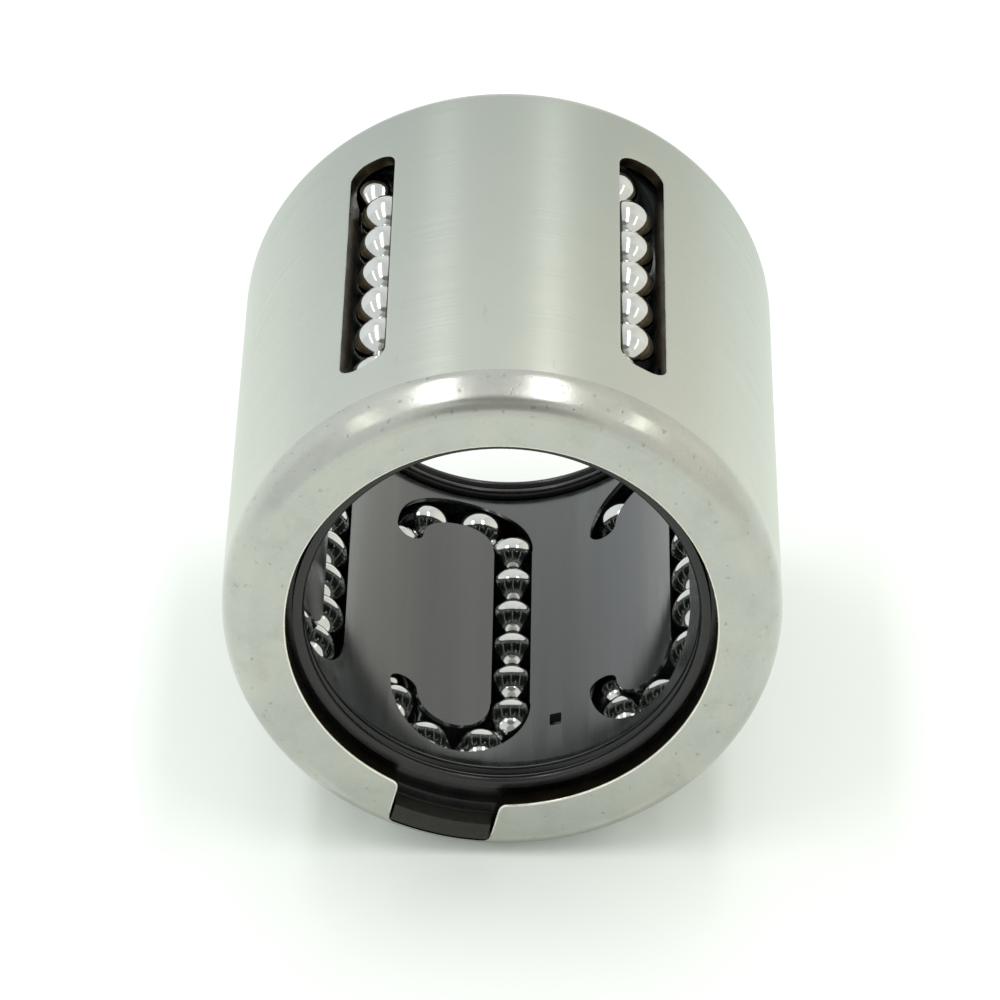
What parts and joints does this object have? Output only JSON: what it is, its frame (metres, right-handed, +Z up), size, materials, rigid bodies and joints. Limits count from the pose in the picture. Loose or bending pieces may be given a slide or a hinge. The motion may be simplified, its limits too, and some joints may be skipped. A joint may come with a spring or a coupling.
{
  "type": "linear ball bushing",
  "caption": "Round steel sleeve with balls that circulate in a plastic cage, so that a plain shaft slides through it with little friction. Lip seals at both ends.",
  "frame": {"origin": "centre of the bore, half way along the bushing", "axes": "+Y along the bore from the notched front end to the rear end, +Z up as the bushing lies on its side"},
  "size_m": [0.028, 0.03, 0.028],
  "materials": {
    "ground_steel": "satin, fine ground, a few small pits",
    "ball_steel": "mirror polished",
    "cage_plastic": "moulded, semi-gloss dark grey",
    "seal_rubber": "smooth black rubber"
  },
  "bodies": {
    "bushing_shell": {"outer_sleeve": "ground_steel", "ball_cage": "cage_plastic", "front_seal": "seal_rubber", "rear_seal": "seal_rubber"},
    "circuit1_loaded_row": {"circuit1_loaded_ball_1": "ball_steel", "circuit1_loaded_ball_2": "ball_steel", "circuit1_loaded_ball_3": "ball_steel", "circuit1_loaded_ball_4": "ball_steel", "circuit1_loaded_ball_5": "ball_steel"},
    "circuit1_return_row": {"circuit1_return_balls": "ball_steel"},
    "circuit1_rear_turn": {"circuit1_rear_turn_balls": "ball_steel"},
    "circuit1_front_turn": {"circuit1_front_turn_balls": "ball_steel"},
    "circuit2_loaded_row": {"circuit2_loaded_ball_1": "ball_steel", "circuit2_loaded_ball_2": "ball_steel", "circuit2_loaded_ball_3": "ball_steel", "circuit2_loaded_ball_4": "ball_steel", "circuit2_loaded_ball_5": "ball_steel"},
    "circuit2_return_row": {"circuit2_return_balls": "ball_steel"},
    "circuit2_rear_turn": {"circuit2_rear_turn_balls": "ball_steel"},
    "circuit2_front_turn": {"circuit2_front_turn_balls": "ball_steel"},
    "circuit3_loaded_row": {"circuit3_loaded_ball_1": "ball_steel", "circuit3_loaded_ball_2": "ball_steel", "circuit3_loaded_ball_3": "ball_steel", "circuit3_loaded_ball_4": "ball_steel", "circuit3_loaded_ball_5": "ball_steel"},
    "circuit3_return_row": {"circuit3_return_balls": "ball_steel"},
    "circuit3_rear_turn": {"circuit3_rear_turn_balls": "ball_steel"},
    "circuit3_front_turn": {"circuit3_front_turn_balls": "ball_steel"},
    "circuit4_loaded_row": {"circuit4_loaded_ball_1": "ball_steel", "circuit4_loaded_ball_2": "ball_steel", "circuit4_loaded_ball_3": "ball_steel", "circuit4_loaded_ball_4": "ball_steel", "circuit4_loaded_ball_5": "ball_steel"},
    "circuit4_return_row": {"circuit4_return_balls": "ball_steel"},
    "circuit4_rear_turn": {"circuit4_rear_turn_balls": "ball_steel"},
    "circuit4_front_turn": {"circuit4_front_turn_balls": "ball_steel"},
    "circuit5_loaded_row": {"circuit5_loaded_ball_1": "ball_steel", "circuit5_loaded_ball_2": "ball_steel", "circuit5_loaded_ball_3": "ball_steel", "circuit5_loaded_ball_4": "ball_steel", "circuit5_loaded_ball_5": "ball_steel"},
    "circuit5_return_row": {"circuit5_return_balls": "ball_steel"},
    "circuit5_rear_turn": {"circuit5_rear_turn_balls": "ball_steel"},
    "circuit5_front_turn": {"circuit5_front_turn_balls": "ball_steel"},
    "circuit6_loaded_row": {"circuit6_loaded_ball_1": "ball_steel", "circuit6_loaded_ball_2": "ball_steel", "circuit6_loaded_ball_3": "ball_steel", "circuit6_loaded_ball_4": "ball_steel", "circuit6_loaded_ball_5": "ball_steel"},
    "circuit6_return_row": {"circuit6_return_balls": "ball_steel"},
    "circuit6_rear_turn": {"circuit6_rear_turn_balls": "ball_steel"},
    "circuit6_front_turn": {"circuit6_front_turn_balls": "ball_steel"}
  },
  "joints": [
    {"name": "circuit1_loaded_slide", "type": "slide", "parent": "bushing_shell", "child": "circuit1_loaded_row", "axis": [0, 1, 0], "range_m": [-0.00016, 0.00286]},
    {"name": "circuit1_return_slide", "type": "slide", "parent": "bushing_shell", "child": "circuit1_return_row", "axis": [0, 1, 0], "range_m": [-0.00286, 0.00016]},
    {"name": "circuit1_rear_turn_swing", "type": "hinge", "parent": "bushing_shell", "child": "circuit1_rear_turn", "pos_m": [-0.00274, 0.00765, -0.01083], "axis": [0.2031, 0.1481, 0.9679], "range_deg": [-2.95, 51.2]},
    {"name": "circuit1_front_turn_swing", "type": "hinge", "parent": "bushing_shell", "child": "circuit1_front_turn", "pos_m": [-0.00274, -0.00695, -0.01083], "axis": [-0.2031, 0.1481, -0.9679], "range_deg": [-51.2, 2.95]},
    {"name": "circuit2_loaded_slide", "type": "slide", "parent": "bushing_shell", "child": "circuit2_loaded_row", "axis": [0, 1, 0], "range_m": [-0.00167, 0.00136]},
    {"name": "circuit2_return_slide", "type": "slide", "parent": "bushing_shell", "child": "circuit2_return_row", "axis": [0, 1, 0], "range_m": [-0.00136, 0.00167]},
    {"name": "circuit2_rear_turn_swing", "type": "hinge", "parent": "bushing_shell", "child": "circuit2_rear_turn", "pos_m": [0.00801, 0.00765, -0.00779], "axis": [-0.7366, 0.1481, 0.6599], "range_deg": [-29.76, 24.4]},
    {"name": "circuit2_front_turn_swing", "type": "hinge", "parent": "bushing_shell", "child": "circuit2_front_turn", "pos_m": [0.00801, -0.00695, -0.00779], "axis": [0.7366, 0.1481, -0.6599], "range_deg": [-24.4, 29.76]},
    {"name": "circuit3_loaded_slide", "type": "slide", "parent": "bushing_shell", "child": "circuit3_loaded_row", "axis": [0, 1, 0], "range_m": [-0.00242, 0.00061]},
    {"name": "circuit3_return_slide", "type": "slide", "parent": "bushing_shell", "child": "circuit3_return_row", "axis": [0, 1, 0], "range_m": [-0.00061, 0.00242]},
    {"name": "circuit3_rear_turn_swing", "type": "hinge", "parent": "bushing_shell", "child": "circuit3_rear_turn", "pos_m": [0.01075, 0.00765, 0.00305], "axis": [-0.9398, 0.1481, -0.308], "range_deg": [-43.16, 10.99]},
    {"name": "circuit3_front_turn_swing", "type": "hinge", "parent": "bushing_shell", "child": "circuit3_front_turn", "pos_m": [0.01075, -0.00695, 0.00305], "axis": [0.9398, 0.1481, 0.308], "range_deg": [-10.99, 43.16]},
    {"name": "circuit4_loaded_slide", "type": "slide", "parent": "bushing_shell", "child": "circuit4_loaded_row", "axis": [0, 1, 0], "range_m": [-0.00146, 0.00156]},
    {"name": "circuit4_return_slide", "type": "slide", "parent": "bushing_shell", "child": "circuit4_return_row", "axis": [0, 1, 0], "range_m": [-0.00156, 0.00146]},
    {"name": "circuit4_rear_turn_swing", "type": "hinge", "parent": "bushing_shell", "child": "circuit4_rear_turn", "pos_m": [0.00274, 0.00765, 0.01083], "axis": [-0.2031, 0.1481, -0.9679], "range_deg": [-26.18, 27.97]},
    {"name": "circuit4_front_turn_swing", "type": "hinge", "parent": "bushing_shell", "child": "circuit4_front_turn", "pos_m": [0.00274, -0.00695, 0.01083], "axis": [0.2031, 0.1481, 0.9679], "range_deg": [-27.97, 26.18]},
    {"name": "circuit5_loaded_slide", "type": "slide", "parent": "bushing_shell", "child": "circuit5_loaded_row", "axis": [0, 1, 0], "range_m": [-0.00106, 0.00197]},
    {"name": "circuit5_return_slide", "type": "slide", "parent": "bushing_shell", "child": "circuit5_return_row", "axis": [0, 1, 0], "range_m": [-0.00197, 0.00106]},
    {"name": "circuit5_rear_turn_swing", "type": "hinge", "parent": "bushing_shell", "child": "circuit5_rear_turn", "pos_m": [-0.00801, 0.00765, 0.00779], "axis": [0.7366, 0.1481, -0.6599], "range_deg": [-19.03, 35.12]},
    {"name": "circuit5_front_turn_swing", "type": "hinge", "parent": "bushing_shell", "child": "circuit5_front_turn", "pos_m": [-0.00801, -0.00695, 0.00779], "axis": [-0.7366, 0.1481, 0.6599], "range_deg": [-35.12, 19.03]},
    {"name": "circuit6_loaded_slide", "type": "slide", "parent": "bushing_shell", "child": "circuit6_loaded_row", "axis": [0, 1, 0], "range_m": [-0.00181, 0.00121]},
    {"name": "circuit6_return_slide", "type": "slide", "parent": "bushing_shell", "child": "circuit6_return_row", "axis": [0, 1, 0], "range_m": [-0.00121, 0.00181]},
    {"name": "circuit6_rear_turn_swing", "type": "hinge", "parent": "bushing_shell", "child": "circuit6_rear_turn", "pos_m": [-0.01075, 0.00765, -0.00305], "axis": [0.9398, 0.1481, 0.308], "range_deg": [-32.44, 21.72]},
    {"name": "circuit6_front_turn_swing", "type": "hinge", "parent": "bushing_shell", "child": "circuit6_front_turn", "pos_m": [-0.01075, -0.00695, -0.00305], "axis": [-0.9398, 0.1481, -0.308], "range_deg": [-21.72, 32.44]}
  ],
  "couplings": [
    {"joint": "circuit1_return_slide", "follows": "circuit1_loaded_slide", "ratio": -1},
    {"joint": "circuit1_rear_turn_swing", "follows": "circuit1_loaded_slide", "rad_per_m": 311.86},
    {"joint": "circuit1_front_turn_swing", "follows": "circuit1_loaded_slide", "rad_per_m": -311.86},
    {"joint": "circuit2_return_slide", "follows": "circuit2_loaded_slide", "ratio": -1},
    {"joint": "circuit2_rear_turn_swing", "follows": "circuit2_loaded_slide", "rad_per_m": 311.86},
    {"joint": "circuit2_front_turn_swing", "follows": "circuit2_loaded_slide", "rad_per_m": -311.86},
    {"joint": "circuit3_return_slide", "follows": "circuit3_loaded_slide", "ratio": -1},
    {"joint": "circuit3_rear_turn_swing", "follows": "circuit3_loaded_slide", "rad_per_m": 311.86},
    {"joint": "circuit3_front_turn_swing", "follows": "circuit3_loaded_slide", "rad_per_m": -311.86},
    {"joint": "circuit4_return_slide", "follows": "circuit4_loaded_slide", "ratio": -1},
    {"joint": "circuit4_rear_turn_swing", "follows": "circuit4_loaded_slide", "rad_per_m": 311.86},
    {"joint": "circuit4_front_turn_swing", "follows": "circuit4_loaded_slide", "rad_per_m": -311.86},
    {"joint": "circuit5_return_slide", "follows": "circuit5_loaded_slide", "ratio": -1},
    {"joint": "circuit5_rear_turn_swing", "follows": "circuit5_loaded_slide", "rad_per_m": 311.86},
    {"joint": "circuit5_front_turn_swing", "follows": "circuit5_loaded_slide", "rad_per_m": -311.86},
    {"joint": "circuit6_return_slide", "follows": "circuit6_loaded_slide", "ratio": -1},
    {"joint": "circuit6_rear_turn_swing", "follows": "circuit6_loaded_slide", "rad_per_m": 311.86},
    {"joint": "circuit6_front_turn_swing", "follows": "circuit6_loaded_slide", "rad_per_m": -311.86}
  ]
}
